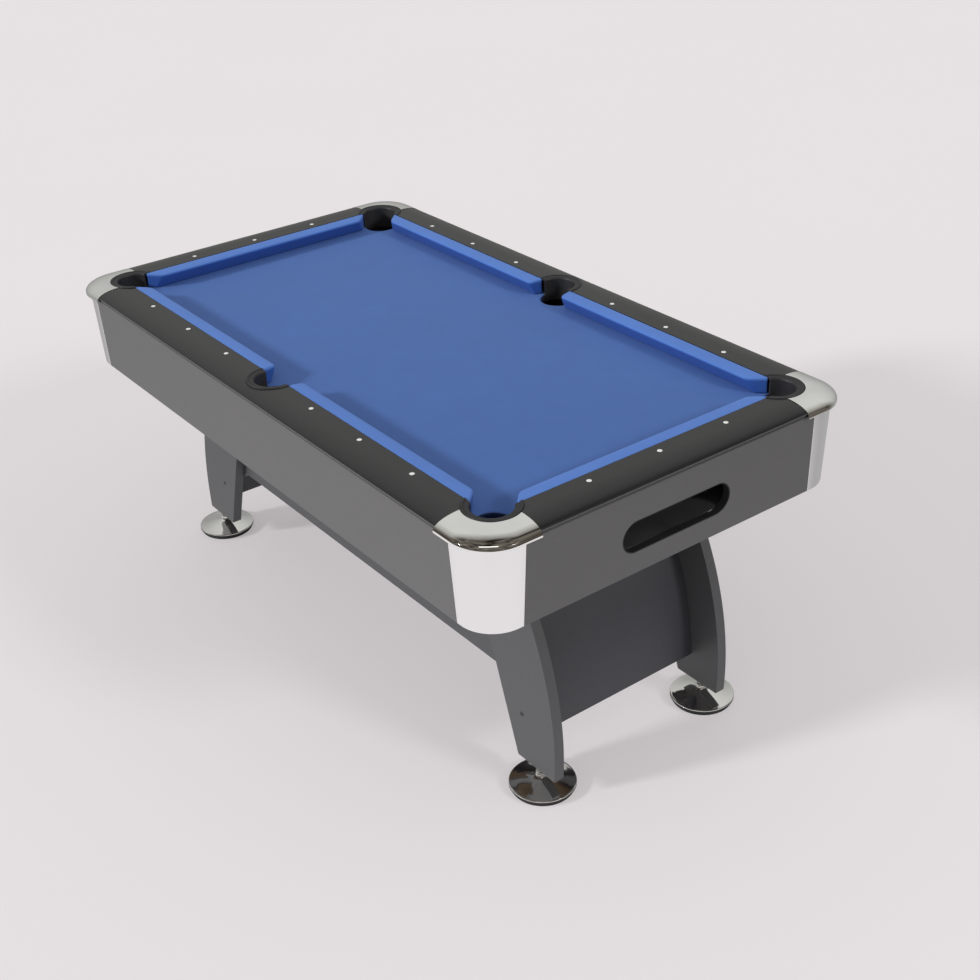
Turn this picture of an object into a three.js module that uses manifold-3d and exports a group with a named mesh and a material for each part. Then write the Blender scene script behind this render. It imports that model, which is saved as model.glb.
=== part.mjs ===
// Home pool table, about 1.78 m long, with six drop pockets, an inside ball return,
// a skirted pedestal base and four screw-adjustable feet.
// Millimetres, +Z up. +X points to the ball-return end, the origin is on the floor
// under the middle of the playing field.
import * as THREE from 'three';
import { ConvexGeometry } from 'three/addons/geometries/ConvexGeometry.js';
import { mergeVertices } from 'three/addons/utils/BufferGeometryUtils.js';
import Module from 'manifold-3d';

const wasm = await Module();
wasm.setup();

// ---- driving dimensions -------------------------------------------------------------
const GAP = 0.3; // clearance kept between pieces that touch

// rails (the wide black top) and the playing field
const RAIL_TOP = 793;
const HALF_LENGTH = 885; // outer edge of the rails along X
const HALF_WIDTH = 500; // outer edge of the rails along Y
const RAIL_WIDTH = 91;
const RAIL_ROLL = [56, 15]; // width and drop of the rounded outer edge
const RAIL_BOTTOM = 753.2;
const BAND_INSET = 4; // the grey band under the rounded edge is set back this much
const BAND_BOTTOM = 768;
const CUSHION_WIDTH = 37;
const NOSE_HEIGHT = 788;
const BOARD_TOP = 751;
const BOARD_THICKNESS = 15;
const BOARD_HALF_LENGTH = 860;
const BOARD_HALF_WIDTH = 475;
const BOARD_CORNER_RADIUS = 75;
const CLOTH_THICKNESS = 1.6;
const BOARD_HOLE_CLEARANCE = 1;

// pockets, with the corner ones measured from the outer corner of the rails
const POCKET_RADIUS = 43;
const CUP_WALL = 3.3;
const FLANGE_RADIUS = 61;
const CORNER_POCKET_INSET = 114;
const SIDE_POCKET_Y = 414;
const CUP_BOTTOM = 733;
const CORNER_CUT = 140; // the rails stop and the corner cap starts this far from the corner

// cushion ends: distance from the outer corner, or from the middle of the long side
const CORNER_END_AT_RAIL = 156;
const CORNER_END_AT_NOSE = 190;
const SIDE_END_AT_RAIL = 54;
const SIDE_END_AT_NOSE = 61;

// corner caps
const CAP_TOP = 794.5;
const CAP_OVERHANG = 6;
const CAP_CORNER_RADIUS = 95;
const CAP_ARC_RADIUS = 62;
const CAP_WALL = 3.5;
const CAP_ROLL = [62, 16.5];

// aprons and corner covers; both lean in slightly towards the bottom
const APRON_TOP = 767.4;
const APRON_BOTTOM = 574.5;
const APRON_THICKNESS = 18;
const APRON_INSET_TOP = 5;
const APRON_INSET_BOTTOM = 13;
const SEAM_TOP = 110; // seam between apron and corner cover, from the outer corner
const SEAM_BOTTOM = 105;
const COVER_TOP = 780;
const COVER_WALL = 3;
const COVER_RADIUS_TOP = 88;
const COVER_RADIUS_BOTTOM = 80;

// ball return: a stadium slot, two sloping gutters and a tray behind the slot
const SLOT_HALF_WIDTH = 148;
const SLOT_RADIUS = 37.5;
const SLOT_Z = 662.5;
const GUTTER_INNER_Y = [337, 463];
const GUTTER_X = [-822, 827];
const GUTTER_FLOOR_Z = [676, 646];
const GUTTER_TOP = 732;
const GUTTER_WALL = 3;
const GUTTER_WINDOW_X = 752;
const TRAY_X = [748, 855.5];
const TRAY_HALF_LENGTH = 333.6;
const TRAY_END_Z = 645;
const TRAY_MIDDLE_Z = 622;

// cabinet frame
const BEARER_X = [500, 590];
const BEARER_Z = [604, 640];
const BEARER_HALF_LENGTH = 469.5;
const BEAM_Y = [286, 314];
const BEAM_X = [-850, 744];
const CORNER_BLOCK_Z = [578, 638];

// pedestal base
const LEG_Y = 245;
const LEG_THICKNESS = 26;
const LEG_BOTTOM = 50;
const LEG_FOOT_X = 658; // inner corner of the leg at its lower end
const BASE_TOP = BEARER_Z[0] - GAP;
const ARC_CENTRE = [31, 109]; // in X and Z; the curved leg edges and end panels share it
const LEG_ARC_RADIUS = 757;
const PANEL_ARC_RADIUS = 670;
const END_PANEL_THICKNESS = 16;
const END_PANEL_BOTTOM = 117;
const SIDE_PANEL_THICKNESS = 14.7;
const SIDE_PANEL_BOTTOM = 232;
const SIDE_PANEL_STEP = 18; // behind the legs the lower edge drops by this much

// levelling feet
const FOOT_X = 728;
const PAD_RADIUS = 72;
const PAD_HEIGHT = 8;
const STUD_RADIUS = 6;
const STUD_TOP = 95;
const BORE_CLEARANCE = 0.6;
const BORE_TOP = 101;

const CORNERS = [
  { name: 'return_back', sx: 1, sy: 1, turn: 0 },
  { name: 'head_back', sx: -1, sy: 1, turn: Math.PI / 2 },
  { name: 'head_front', sx: -1, sy: -1, turn: Math.PI },
  { name: 'return_front', sx: 1, sy: -1, turn: -Math.PI / 2 },
];

// ---- materials ------------------------------------------------------------------------
function finish(color, roughness, metalness = 0) {
  return { color, roughness, metalness };
}

const FINISH = {
  cloth: finish(0x56739f, 0.95),
  cushion: finish(0x5a78a8, 0.95),
  rail: finish(0x2b2b2c, 0.45),
  apron: finish(0x646464, 0.5),
  leg: finish(0x4b4c4f, 0.5),
  raw: finish(0x8a7357, 0.85),
  liner: finish(0x17171a, 0.55),
  gutter: finish(0x1d1d1f, 0.7),
  satin: finish(0xd6d6d6, 0.3, 0.9),
  chrome: finish(0xe4e4e2, 0.06, 1),
  rubber: finish(0x202020, 0.85),
};

const table = new THREE.Group();

function addPart(name, geometry, look, placed = {}) {
  const mesh = new THREE.Mesh(geometry, new THREE.MeshStandardMaterial(look));
  mesh.name = name;
  mesh.position.set(...(placed.at ?? [0, 0, 0]));
  mesh.rotation.z = placed.turn ?? 0;
  table.add(mesh);
}

// ---- geometry helpers -------------------------------------------------------------------
function solid(geometry) {
  const bare = geometry.clone();
  for (const key of Object.keys(bare.attributes)) {
    if (key !== 'position') bare.deleteAttribute(key);
  }
  const merged = mergeVertices(bare, 1e-3);
  const vertProperties = Float32Array.from(merged.attributes.position.array);
  const triVerts = Uint32Array.from(merged.index.array);
  return new wasm.Manifold(new wasm.Mesh({ numProp: 3, vertProperties, triVerts }));
}

function geometryOf(manifold) {
  const mesh = manifold.getMesh();
  const geometry = new THREE.BufferGeometry();
  geometry.setAttribute('position', new THREE.BufferAttribute(Float32Array.from(mesh.vertProperties), 3));
  geometry.setIndex(new THREE.BufferAttribute(Uint32Array.from(mesh.triVerts), 1));
  return geometry;
}

function cut(geometry, ...tools) {
  let body = solid(geometry);
  for (const tool of tools) body = body.subtract(solid(tool));
  return geometryOf(body);
}

function common(first, second) {
  return geometryOf(solid(first).intersect(solid(second)));
}

function join(first, second) {
  return geometryOf(solid(first).add(solid(second)));
}

function polygon(points) {
  return new THREE.Shape(points.map(([x, y]) => new THREE.Vector2(x, y)));
}

function box(x, y, z) {
  const geometry = new THREE.BoxGeometry(x[1] - x[0], y[1] - y[0], z[1] - z[0]);
  return geometry.translate((x[0] + x[1]) / 2, (y[0] + y[1]) / 2, (z[0] + z[1]) / 2);
}

function extrude(shape, depth, curveSegments) {
  return new THREE.ExtrudeGeometry(shape, { depth, bevelEnabled: false, curveSegments });
}

// a shape drawn in X and Y, from z[0] to z[1]
function slabXY(shape, z, curveSegments = 12) {
  return extrude(shape, z[1] - z[0], curveSegments).translate(0, 0, z[0]);
}

// a shape drawn in X and Z, from y[0] to y[1]
function slabXZ(shape, y, curveSegments = 12) {
  return extrude(shape, y[1] - y[0], curveSegments).rotateX(Math.PI / 2).translate(0, y[1], 0);
}

// a shape drawn in Y and Z, from x[0] to x[1]
function slabYZ(shape, x, curveSegments = 12) {
  const geometry = extrude(shape, x[1] - x[0], curveSegments);
  return geometry.rotateX(Math.PI / 2).rotateZ(Math.PI / 2).translate(x[0], 0, 0);
}

function hull(points) {
  return new ConvexGeometry(points.map((point) => new THREE.Vector3(...point)));
}

function upright(x, y, radius, z, segments = 36) {
  const geometry = new THREE.CylinderGeometry(radius, radius, z[1] - z[0], segments);
  return geometry.rotateX(Math.PI / 2).translate(x, y, (z[0] + z[1]) / 2);
}

function lathe(profile, segments) {
  const points = profile.map(([radius, z]) => new THREE.Vector2(radius, z));
  return new THREE.LatheGeometry(points, segments).rotateX(Math.PI / 2);
}

function pocketCentres() {
  const x = HALF_LENGTH - CORNER_POCKET_INSET;
  const y = HALF_WIDTH - CORNER_POCKET_INSET;
  const corners = CORNERS.map(({ sx, sy }) => [sx * x, sy * y]);
  return [...corners, [0, SIDE_POCKET_Y], [0, -SIDE_POCKET_Y]];
}

// ---- playing field --------------------------------------------------------------------------
function boardOutline(inset) {
  const x = BOARD_HALF_LENGTH - inset;
  const y = BOARD_HALF_WIDTH - inset;
  const r = BOARD_CORNER_RADIUS;
  const shape = new THREE.Shape();
  shape.moveTo(-x + r, -y);
  shape.lineTo(x - r, -y);
  shape.absarc(x - r, -y + r, r, -Math.PI / 2, 0);
  shape.lineTo(x, y - r);
  shape.absarc(x - r, y - r, r, 0, Math.PI / 2);
  shape.lineTo(-x + r, y);
  shape.absarc(-x + r, y - r, r, Math.PI / 2, Math.PI);
  shape.lineTo(-x, -y + r);
  shape.absarc(-x + r, -y + r, r, Math.PI, 1.5 * Math.PI);
  for (const [px, py] of pocketCentres()) {
    const hole = new THREE.Path();
    hole.absarc(px, py, POCKET_RADIUS + CUP_WALL + BOARD_HOLE_CLEARANCE, 0, 2 * Math.PI, true);
    shape.holes.push(hole);
  }
  return shape;
}

function addField() {
  const boardZ = [BOARD_TOP - BOARD_THICKNESS, BOARD_TOP];
  const clothZ = [BOARD_TOP + GAP, BOARD_TOP + GAP + CLOTH_THICKNESS];
  addPart('playfield_board', slabXY(boardOutline(0), boardZ, 12), FINISH.raw);
  addPart('bed_cloth', slabXY(boardOutline(2), clothZ, 12), FINISH.cloth);
}

// ---- rails -------------------------------------------------------------------------------------
// cross-section, with the distance from the outer edge growing negative inwards
function railProfile(side) {
  const [roll, drop] = RAIL_ROLL;
  const shape = new THREE.Shape();
  const footEnd = BOARD_HALF_WIDTH - HALF_WIDTH;
  shape.moveTo(side - RAIL_WIDTH, RAIL_BOTTOM);
  shape.lineTo(side + footEnd, RAIL_BOTTOM);
  shape.lineTo(side + footEnd, BAND_BOTTOM);
  shape.lineTo(side - BAND_INSET, BAND_BOTTOM);
  shape.lineTo(side - BAND_INSET, RAIL_TOP - drop);
  shape.lineTo(side, RAIL_TOP - drop);
  shape.absellipse(side - roll, RAIL_TOP - drop, roll, drop, 0, Math.PI / 2);
  shape.lineTo(side - RAIL_WIDTH, RAIL_TOP);
  return shape;
}

function pocketCutters() {
  const z = [RAIL_BOTTOM - 5, CAP_TOP + 5];
  return pocketCentres().map(([x, y]) => upright(x, y, FLANGE_RADIUS + GAP, z, 36));
}

function addRails() {
  const cutters = pocketCutters();
  const endX = HALF_LENGTH - CORNER_CUT - GAP;
  const endY = HALF_WIDTH - CORNER_CUT - GAP;
  for (const { name, turn } of [{ name: 'back', turn: 0 }, { name: 'front', turn: Math.PI }]) {
    const bar = slabYZ(railProfile(HALF_WIDTH), [-endX, endX], 7);
    addPart(`side_rail_${name}`, cut(bar, ...cutters), FINISH.rail, { turn });
  }
  for (const { name, turn } of [{ name: 'return', turn: 0 }, { name: 'head', turn: Math.PI }]) {
    const bar = slabYZ(railProfile(HALF_LENGTH), [-endY, endY], 7).rotateZ(-Math.PI / 2);
    addPart(`end_rail_${name}`, cut(bar, ...cutters), FINISH.rail, { turn });
  }
}

// ---- cushions ------------------------------------------------------------------------------------
// one straight cushion along X, with its back against a rail's inner face at y = back;
// each end is given as [x at the rail, x at the nose]
function cushion(back, firstEnd, lastEnd) {
  const nose = back - CUSHION_WIDTH;
  const foot = RAIL_BOTTOM + GAP;
  const section = [
    [back, foot, 0],
    [back, RAIL_TOP - 0.5, 0],
    [nose + 3, NOSE_HEIGHT + 2.5, 1],
    [nose, NOSE_HEIGHT, 1],
    [nose + 1, NOSE_HEIGHT - 4, 1],
    [nose + 17, foot, 0.55],
  ];
  const points = [];
  for (const end of [firstEnd, lastEnd]) {
    for (const [y, z, depth] of section) points.push([end[0] + (end[1] - end[0]) * depth, y, z]);
  }
  return hull(points);
}

function addCushions() {
  const sideBack = HALF_WIDTH - RAIL_WIDTH - GAP;
  const endBack = HALF_LENGTH - RAIL_WIDTH - GAP;
  const middle = [SIDE_END_AT_RAIL, SIDE_END_AT_NOSE];
  const corner = [HALF_LENGTH - CORNER_END_AT_RAIL, HALF_LENGTH - CORNER_END_AT_NOSE];
  const endCorner = [HALF_WIDTH - CORNER_END_AT_RAIL, HALF_WIDTH - CORNER_END_AT_NOSE];
  const mirrored = (pair) => pair.map((value) => -value);
  const right = cushion(sideBack, middle, corner);
  const left = cushion(sideBack, mirrored(middle), mirrored(corner));
  const end = cushion(endBack, mirrored(endCorner), endCorner).rotateZ(-Math.PI / 2);
  addPart('cushion_back_return', right, FINISH.cushion);
  addPart('cushion_back_head', left, FINISH.cushion);
  addPart('cushion_front_head', right, FINISH.cushion, { turn: Math.PI });
  addPart('cushion_front_return', left, FINISH.cushion, { turn: Math.PI });
  addPart('cushion_end_return', end, FINISH.cushion);
  addPart('cushion_end_head', end, FINISH.cushion, { turn: Math.PI });
}

// ---- pockets -------------------------------------------------------------------------------------
// a short drop tube through the board, and a horseshoe wall with a raised lip behind it
function pocketBody() {
  const r = POCKET_RADIUS;
  const out = r + CUP_WALL;
  const flange = FLANGE_RADIUS;
  const profile = [
    [r, CUP_BOTTOM],
    [out, CUP_BOTTOM],
    [out, RAIL_TOP - 6],
    [flange, RAIL_TOP - 3],
    [flange, RAIL_TOP + 1],
    [flange - 1, RAIL_TOP + 2.2],
    [flange - 4, RAIL_TOP + 2.2],
    [flange - 6, RAIL_TOP + 0.2],
    [r + 4, RAIL_TOP + 0.2],
    [r + 1.2, RAIL_TOP - 1.4],
    [r, RAIL_TOP - 5],
    [r, CUP_BOTTOM],
  ];
  return lathe(profile, 32);
}

function addPockets() {
  const mouthZ = [BOARD_TOP + GAP, CAP_TOP + 10];
  const edge = CORNER_POCKET_INSET - RAIL_WIDTH - GAP;
  const cornerMouth = box([-150, edge], [-150, edge], mouthZ);
  const corner = cut(pocketBody(), cornerMouth);
  for (const { name, sx, sy, turn } of CORNERS) {
    const at = [sx * (HALF_LENGTH - CORNER_POCKET_INSET), sy * (HALF_WIDTH - CORNER_POCKET_INSET), 0];
    addPart(`pocket_liner_${name}`, corner, FINISH.liner, { at, turn });
  }
  const railFace = HALF_WIDTH - RAIL_WIDTH - GAP - SIDE_POCKET_Y;
  const side = cut(pocketBody(), box([-150, 150], [-150, railFace], mouthZ));
  addPart('pocket_liner_side_back', side, FINISH.liner, { at: [0, SIDE_POCKET_Y, 0] });
  addPart('pocket_liner_side_front', side, FINISH.liner, { at: [0, -SIDE_POCKET_Y, 0], turn: Math.PI });
}

// ---- corner caps ------------------------------------------------------------------------------------
// drawn with the outer corner of the rails at 0, 0 and the table towards -X and -Y
function capBlank(inset, top) {
  const side = CAP_OVERHANG - inset;
  const r = CAP_CORNER_RADIUS - inset;
  const far = -400;
  const shape = new THREE.Shape();
  shape.moveTo(far, far);
  shape.lineTo(side, far);
  shape.lineTo(side, side - r);
  shape.absarc(side - r, side - r, r, 0, Math.PI / 2);
  shape.lineTo(far, side);
  const [roll, drop] = CAP_ROLL.map((size) => size - inset);
  const depth = 100;
  const geometry = new THREE.ExtrudeGeometry(shape, {
    depth,
    bevelSize: roll,
    bevelThickness: drop,
    bevelOffset: -roll,
    bevelSegments: 5,
    curveSegments: 9,
  });
  return geometry.translate(0, 0, top - depth - drop);
}

function capPlan(arcRadius, end, z) {
  const centre = -CORNER_POCKET_INSET;
  const reach = Math.sqrt(arcRadius ** 2 - (end - CORNER_POCKET_INSET) ** 2);
  const start = Math.atan2(CORNER_POCKET_INSET - end, reach);
  const shape = new THREE.Shape();
  shape.moveTo(-end, 50);
  shape.lineTo(-end, centre + reach);
  shape.absarc(centre, centre, arcRadius, Math.PI / 2 - start, start, true);
  shape.lineTo(50, -end);
  shape.lineTo(50, 50);
  return slabXY(shape, z, 14);
}

function addCornerCaps() {
  const skirtBottom = BAND_BOTTOM - GAP;
  const outer = common(capBlank(0, CAP_TOP), capPlan(CAP_ARC_RADIUS, CORNER_CUT, [skirtBottom, CAP_TOP + 5]));
  const hollowPlan = capPlan(CAP_ARC_RADIUS + CAP_WALL, CORNER_CUT + 5, [skirtBottom - 5, CAP_TOP + 5]);
  const hollow = common(capBlank(CAP_WALL, CAP_TOP - CAP_WALL), hollowPlan);
  const cap = cut(outer, hollow);
  for (const { name, sx, sy, turn } of CORNERS) {
    addPart(`corner_cap_${name}`, cap, FINISH.chrome, { at: [sx * HALF_LENGTH, sy * HALF_WIDTH, 0], turn });
  }
}

// ---- aprons and corner covers ---------------------------------------------------------------------------
function slope(z, top, bottom) {
  return top + ((APRON_TOP - z) / (APRON_TOP - APRON_BOTTOM)) * (bottom - top);
}

function apron(halfWidth, halfLength) {
  const points = [];
  for (const z of [APRON_TOP, APRON_BOTTOM]) {
    const face = halfWidth - slope(z, APRON_INSET_TOP, APRON_INSET_BOTTOM);
    const end = halfLength - slope(z, SEAM_TOP, SEAM_BOTTOM) - GAP;
    for (const x of [-end, end]) {
      points.push([x, face, z]);
      points.push([x, face - APRON_THICKNESS, z]);
    }
  }
  return hull(points);
}

function slotCutter() {
  const straight = SLOT_HALF_WIDTH - SLOT_RADIUS;
  const shape = new THREE.Shape();
  shape.moveTo(-straight, SLOT_Z - SLOT_RADIUS);
  shape.lineTo(straight, SLOT_Z - SLOT_RADIUS);
  shape.absarc(straight, SLOT_Z, SLOT_RADIUS, -Math.PI / 2, Math.PI / 2);
  shape.lineTo(-straight, SLOT_Z + SLOT_RADIUS);
  shape.absarc(-straight, SLOT_Z, SLOT_RADIUS, Math.PI / 2, 1.5 * Math.PI);
  return slabYZ(shape, [HALF_LENGTH - 100, HALF_LENGTH + 100], 16);
}

function addAprons() {
  const side = apron(HALF_WIDTH, HALF_LENGTH);
  const end = apron(HALF_LENGTH, HALF_WIDTH).rotateZ(-Math.PI / 2);
  addPart('side_apron_back', side, FINISH.apron);
  addPart('side_apron_front', side, FINISH.apron, { turn: Math.PI });
  addPart('end_apron_return', cut(end, slotCutter()), FINISH.apron);
  addPart('end_apron_head', end, FINISH.apron, { turn: Math.PI });
}

// a leaning block with one rounded corner, drawn like the corner caps
function coverBlank(inset, z) {
  const far = -400;
  const steps = 12;
  const points = [];
  for (const level of z) {
    const side = -slope(level, APRON_INSET_TOP, APRON_INSET_BOTTOM) - inset;
    const r = slope(level, COVER_RADIUS_TOP, COVER_RADIUS_BOTTOM) - inset;
    points.push([far, far, level], [side, far, level], [far, side, level]);
    for (let i = 0; i <= steps; i += 1) {
      const angle = (i / steps) * (Math.PI / 2);
      points.push([side - r + r * Math.cos(angle), side - r + r * Math.sin(angle), level]);
    }
  }
  return hull(points);
}

function coverRegion(z) {
  const points = [];
  for (const level of z) {
    const seam = -slope(level, SEAM_TOP, SEAM_BOTTOM);
    for (const x of [seam, 50]) points.push([x, seam, level], [x, 50, level]);
  }
  return hull(points);
}

function addCornerCovers() {
  const z = [APRON_BOTTOM, COVER_TOP];
  const tall = [APRON_BOTTOM - 10, COVER_TOP + 10];
  const cover = common(cut(coverBlank(0, z), coverBlank(COVER_WALL, tall)), coverRegion(tall));
  for (const { name, sx, sy, turn } of CORNERS) {
    const at = [sx * HALF_LENGTH, sy * HALF_WIDTH, 0];
    addPart(`corner_cover_${name}`, cover, FINISH.satin, { at, turn });
  }
}

// ---- ball return ------------------------------------------------------------------------------------
function channelBlock(y, zAtHead, zAtReturn, top, xPad) {
  const head = GUTTER_X[0] - xPad;
  const last = GUTTER_X[1] + xPad;
  const points = [];
  for (const side of y) {
    points.push([head, side, zAtHead], [head, side, top], [last, side, zAtReturn], [last, side, top]);
  }
  return hull(points);
}

function addGutters() {
  const [inner, outer] = GUTTER_INNER_Y;
  const wall = GUTTER_WALL;
  const walls = [inner - wall, outer + wall];
  const [headZ, returnZ] = GUTTER_FLOOR_Z;
  const block = channelBlock(walls, headZ - wall, returnZ - wall, GUTTER_TOP, wall);
  const channel = channelBlock([inner, outer], headZ, returnZ, GUTTER_TOP + 10, 0);
  for (const { name, side } of [{ name: 'back', side: 1 }, { name: 'front', side: -1 }]) {
    const windowY = [inner - 2 * wall, inner + wall].map((y) => y * side).sort((a, b) => a - b);
    const opening = box([GUTTER_WINDOW_X, GUTTER_X[1]], windowY, [returnZ + 2, GUTTER_TOP + 10]);
    const shift = side > 0 ? 0 : -(inner + outer);
    const trough = cut(block.clone().translate(0, shift, 0), channel.clone().translate(0, shift, 0), opening);
    addPart(`ball_gutter_${name}`, trough, FINISH.gutter);
  }
}

function addReturnTray() {
  const wall = GUTTER_WALL;
  const y = TRAY_HALF_LENGTH;
  const floor = polygon([
    [-y, TRAY_END_Z],
    [-y, TRAY_END_Z - wall],
    [0, TRAY_MIDDLE_Z - wall],
    [y, TRAY_END_Z - wall],
    [y, TRAY_END_Z],
    [0, TRAY_MIDDLE_Z],
  ]);
  const back = polygon([
    [-y, GUTTER_TOP],
    [-y, TRAY_END_Z - wall],
    [0, TRAY_MIDDLE_Z - wall],
    [y, TRAY_END_Z - wall],
    [y, GUTTER_TOP],
  ]);
  const tray = join(slabYZ(floor, TRAY_X), slabYZ(back, [TRAY_X[0], TRAY_X[0] + wall]));
  addPart('ball_return_tray', tray, FINISH.gutter);
}

// ---- cabinet frame ------------------------------------------------------------------------------------
function addFrame() {
  const boardBottom = BOARD_TOP - BOARD_THICKNESS;
  const beamZ = [BEARER_Z[1] + GAP, boardBottom - GAP];
  const ends = [-BEARER_HALF_LENGTH, BEARER_HALF_LENGTH];
  const bearer = box(BEARER_X, ends, BEARER_Z);
  addPart('base_bearer_return', bearer, FINISH.raw);
  addPart('base_bearer_head', bearer, FINISH.raw, { turn: Math.PI });
  addPart('field_beam_back', box(BEAM_X, BEAM_Y, beamZ), FINISH.raw);
  addPart('field_beam_front', box(BEAM_X, [-BEAM_Y[1], -BEAM_Y[0]], beamZ), FINISH.raw);
}

function addCornerBlocks() {
  const face = -(APRON_INSET_BOTTOM + APRON_THICKNESS + 0.5);
  const shape = polygon([
    [face, -170],
    [face, -85],
    [-85, face],
    [-170, face],
  ]);
  const block = slabXY(shape, CORNER_BLOCK_Z);
  for (const { name, sx, sy, turn } of CORNERS) {
    addPart(`corner_block_${name}`, block, FINISH.raw, { at: [sx * HALF_LENGTH, sy * HALF_WIDTH, 0], turn });
  }
}

// ---- pedestal base ------------------------------------------------------------------------------------
function arcX(radius, z) {
  return ARC_CENTRE[0] + Math.sqrt(radius ** 2 - (z - ARC_CENTRE[1]) ** 2);
}

function arcAngle(radius, z) {
  return Math.asin((z - ARC_CENTRE[1]) / radius);
}

function legShape() {
  const r = LEG_ARC_RADIUS;
  const shape = new THREE.Shape();
  shape.moveTo(LEG_FOOT_X, LEG_BOTTOM);
  shape.lineTo(arcX(r, LEG_BOTTOM), LEG_BOTTOM);
  shape.absarc(...ARC_CENTRE, r, arcAngle(r, LEG_BOTTOM), arcAngle(r, BASE_TOP));
  shape.lineTo(460, BASE_TOP);
  shape.lineTo(583, 278);
  return shape;
}

function addLegs() {
  const half = LEG_THICKNESS / 2;
  const bore = upright(FOOT_X, 0, STUD_RADIUS + BORE_CLEARANCE, [LEG_BOTTOM - 5, BORE_TOP], 20);
  const leg = cut(slabXZ(legShape(), [-half, half], 14), bore);
  for (const { name, sx, sy } of CORNERS) {
    addPart(`leg_${name}`, leg, FINISH.leg, { at: [0, sy * LEG_Y, 0], turn: sx > 0 ? 0 : Math.PI });
  }
}

function endPanelShape() {
  const outer = PANEL_ARC_RADIUS;
  const inner = outer - END_PANEL_THICKNESS;
  const low = END_PANEL_BOTTOM;
  const shape = new THREE.Shape();
  shape.moveTo(arcX(outer, low), low);
  shape.absarc(...ARC_CENTRE, outer, arcAngle(outer, low), arcAngle(outer, BASE_TOP));
  shape.lineTo(arcX(inner, BASE_TOP), BASE_TOP);
  shape.absarc(...ARC_CENTRE, inner, arcAngle(inner, BASE_TOP), arcAngle(inner, low), true);
  return shape;
}

function addEndPanels() {
  const y = LEG_Y - LEG_THICKNESS / 2 - GAP;
  const panel = slabXZ(endPanelShape(), [-y, y], 14);
  addPart('end_panel_return', panel, FINISH.leg);
  addPart('end_panel_head', panel, FINISH.leg, { turn: Math.PI });
}

function sidePanelShape() {
  const r = PANEL_ARC_RADIUS - END_PANEL_THICKNESS - GAP;
  const low = SIDE_PANEL_BOTTOM;
  const step = SIDE_PANEL_STEP;
  const lowEnd = low - step;
  const shape = new THREE.Shape();
  shape.moveTo(arcX(r, lowEnd), lowEnd);
  shape.absarc(...ARC_CENTRE, r, arcAngle(r, lowEnd), arcAngle(r, BASE_TOP));
  const [cx, cz] = ARC_CENTRE;
  shape.lineTo(-arcX(r, BASE_TOP), BASE_TOP);
  shape.absarc(-cx, cz, r, Math.PI - arcAngle(r, BASE_TOP), Math.PI - arcAngle(r, lowEnd));
  shape.lineTo(-603, lowEnd);
  shape.lineTo(-603 + step, low);
  shape.lineTo(603 - step, low);
  shape.lineTo(603, lowEnd);
  return shape;
}

function addSidePanels() {
  const outer = LEG_Y - LEG_THICKNESS / 2 - GAP;
  const inner = outer - SIDE_PANEL_THICKNESS;
  addPart('side_panel_back', slabXZ(sidePanelShape(), [inner, outer], 12), FINISH.leg);
  addPart('side_panel_front', slabXZ(sidePanelShape(), [-outer, -inner], 12), FINISH.leg);
}

// ---- levelling feet ------------------------------------------------------------------------------------
function footDome() {
  const low = PAD_HEIGHT + GAP;
  return lathe([
    [0, low],
    [73.5, low],
    [75.5, low + 1.5],
    [76, low + 3.2],
    [75.4, low + 4.8],
    [73.6, low + 6],
    [62, low + 9.6],
    [48, low + 14.2],
    [34, low + 18.6],
    [20, low + 22.6],
    [13, low + 25],
    [13, low + 33],
    [9, low + 33.5],
    [9, low + 35],
    [13, low + 35.5],
    [13, low + 40.6],
    [STUD_RADIUS, low + 41.1],
    [STUD_RADIUS, STUD_TOP],
    [0, STUD_TOP],
  ], 28);
}

function footPad() {
  return lathe([
    [0, 0],
    [PAD_RADIUS - 2, 0],
    [PAD_RADIUS, 2],
    [PAD_RADIUS, PAD_HEIGHT],
    [0, PAD_HEIGHT],
  ], 28);
}

function addFeet() {
  for (const { name, sx, sy } of CORNERS) {
    const at = [sx * FOOT_X, sy * LEG_Y, 0];
    addPart(`foot_pad_${name}`, footPad(), FINISH.rubber, { at });
    addPart(`foot_screw_${name}`, footDome(), FINISH.chrome, { at });
  }
}

addField();
addRails();
addCushions();
addPockets();
addCornerCaps();
addAprons();
addCornerCovers();
addGutters();
addReturnTray();
addFrame();
addCornerBlocks();
addLegs();
addEndPanels();
addSidePanels();
addFeet();

export default table;
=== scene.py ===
import math

import bmesh
import bpy
from mathutils import Matrix, Vector


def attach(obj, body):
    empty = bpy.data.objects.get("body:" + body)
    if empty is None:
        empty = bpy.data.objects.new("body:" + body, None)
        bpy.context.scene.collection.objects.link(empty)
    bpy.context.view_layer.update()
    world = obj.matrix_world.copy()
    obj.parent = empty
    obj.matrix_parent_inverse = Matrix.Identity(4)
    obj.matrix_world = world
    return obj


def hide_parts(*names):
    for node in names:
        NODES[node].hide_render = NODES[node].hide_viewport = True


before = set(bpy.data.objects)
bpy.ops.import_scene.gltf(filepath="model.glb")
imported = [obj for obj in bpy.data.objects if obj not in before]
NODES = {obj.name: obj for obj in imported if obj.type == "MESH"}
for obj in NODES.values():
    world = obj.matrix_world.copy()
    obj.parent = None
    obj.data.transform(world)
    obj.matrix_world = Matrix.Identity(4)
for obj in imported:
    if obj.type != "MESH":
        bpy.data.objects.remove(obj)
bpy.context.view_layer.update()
MM = 0.001

# the camera as solved from the rail corners and the sights
CAMERA_LENS = 53.76
CAMERA_PLACE = (2.6877, -1.7934, 2.1894)
CAMERA_BACK = (0.69991, -0.51283, 0.49713)
CAMERA_RIGHT = (0.60687, 0.79402, -0.03532)

# the table's main sizes in millimetres, as the solids have them
HALF_LENGTH = 885
HALF_WIDTH = 500
RAIL_WIDTH = 91
CLOTH_TOP = 752.7
CLOTH_THICKNESS = 1.3
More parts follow.
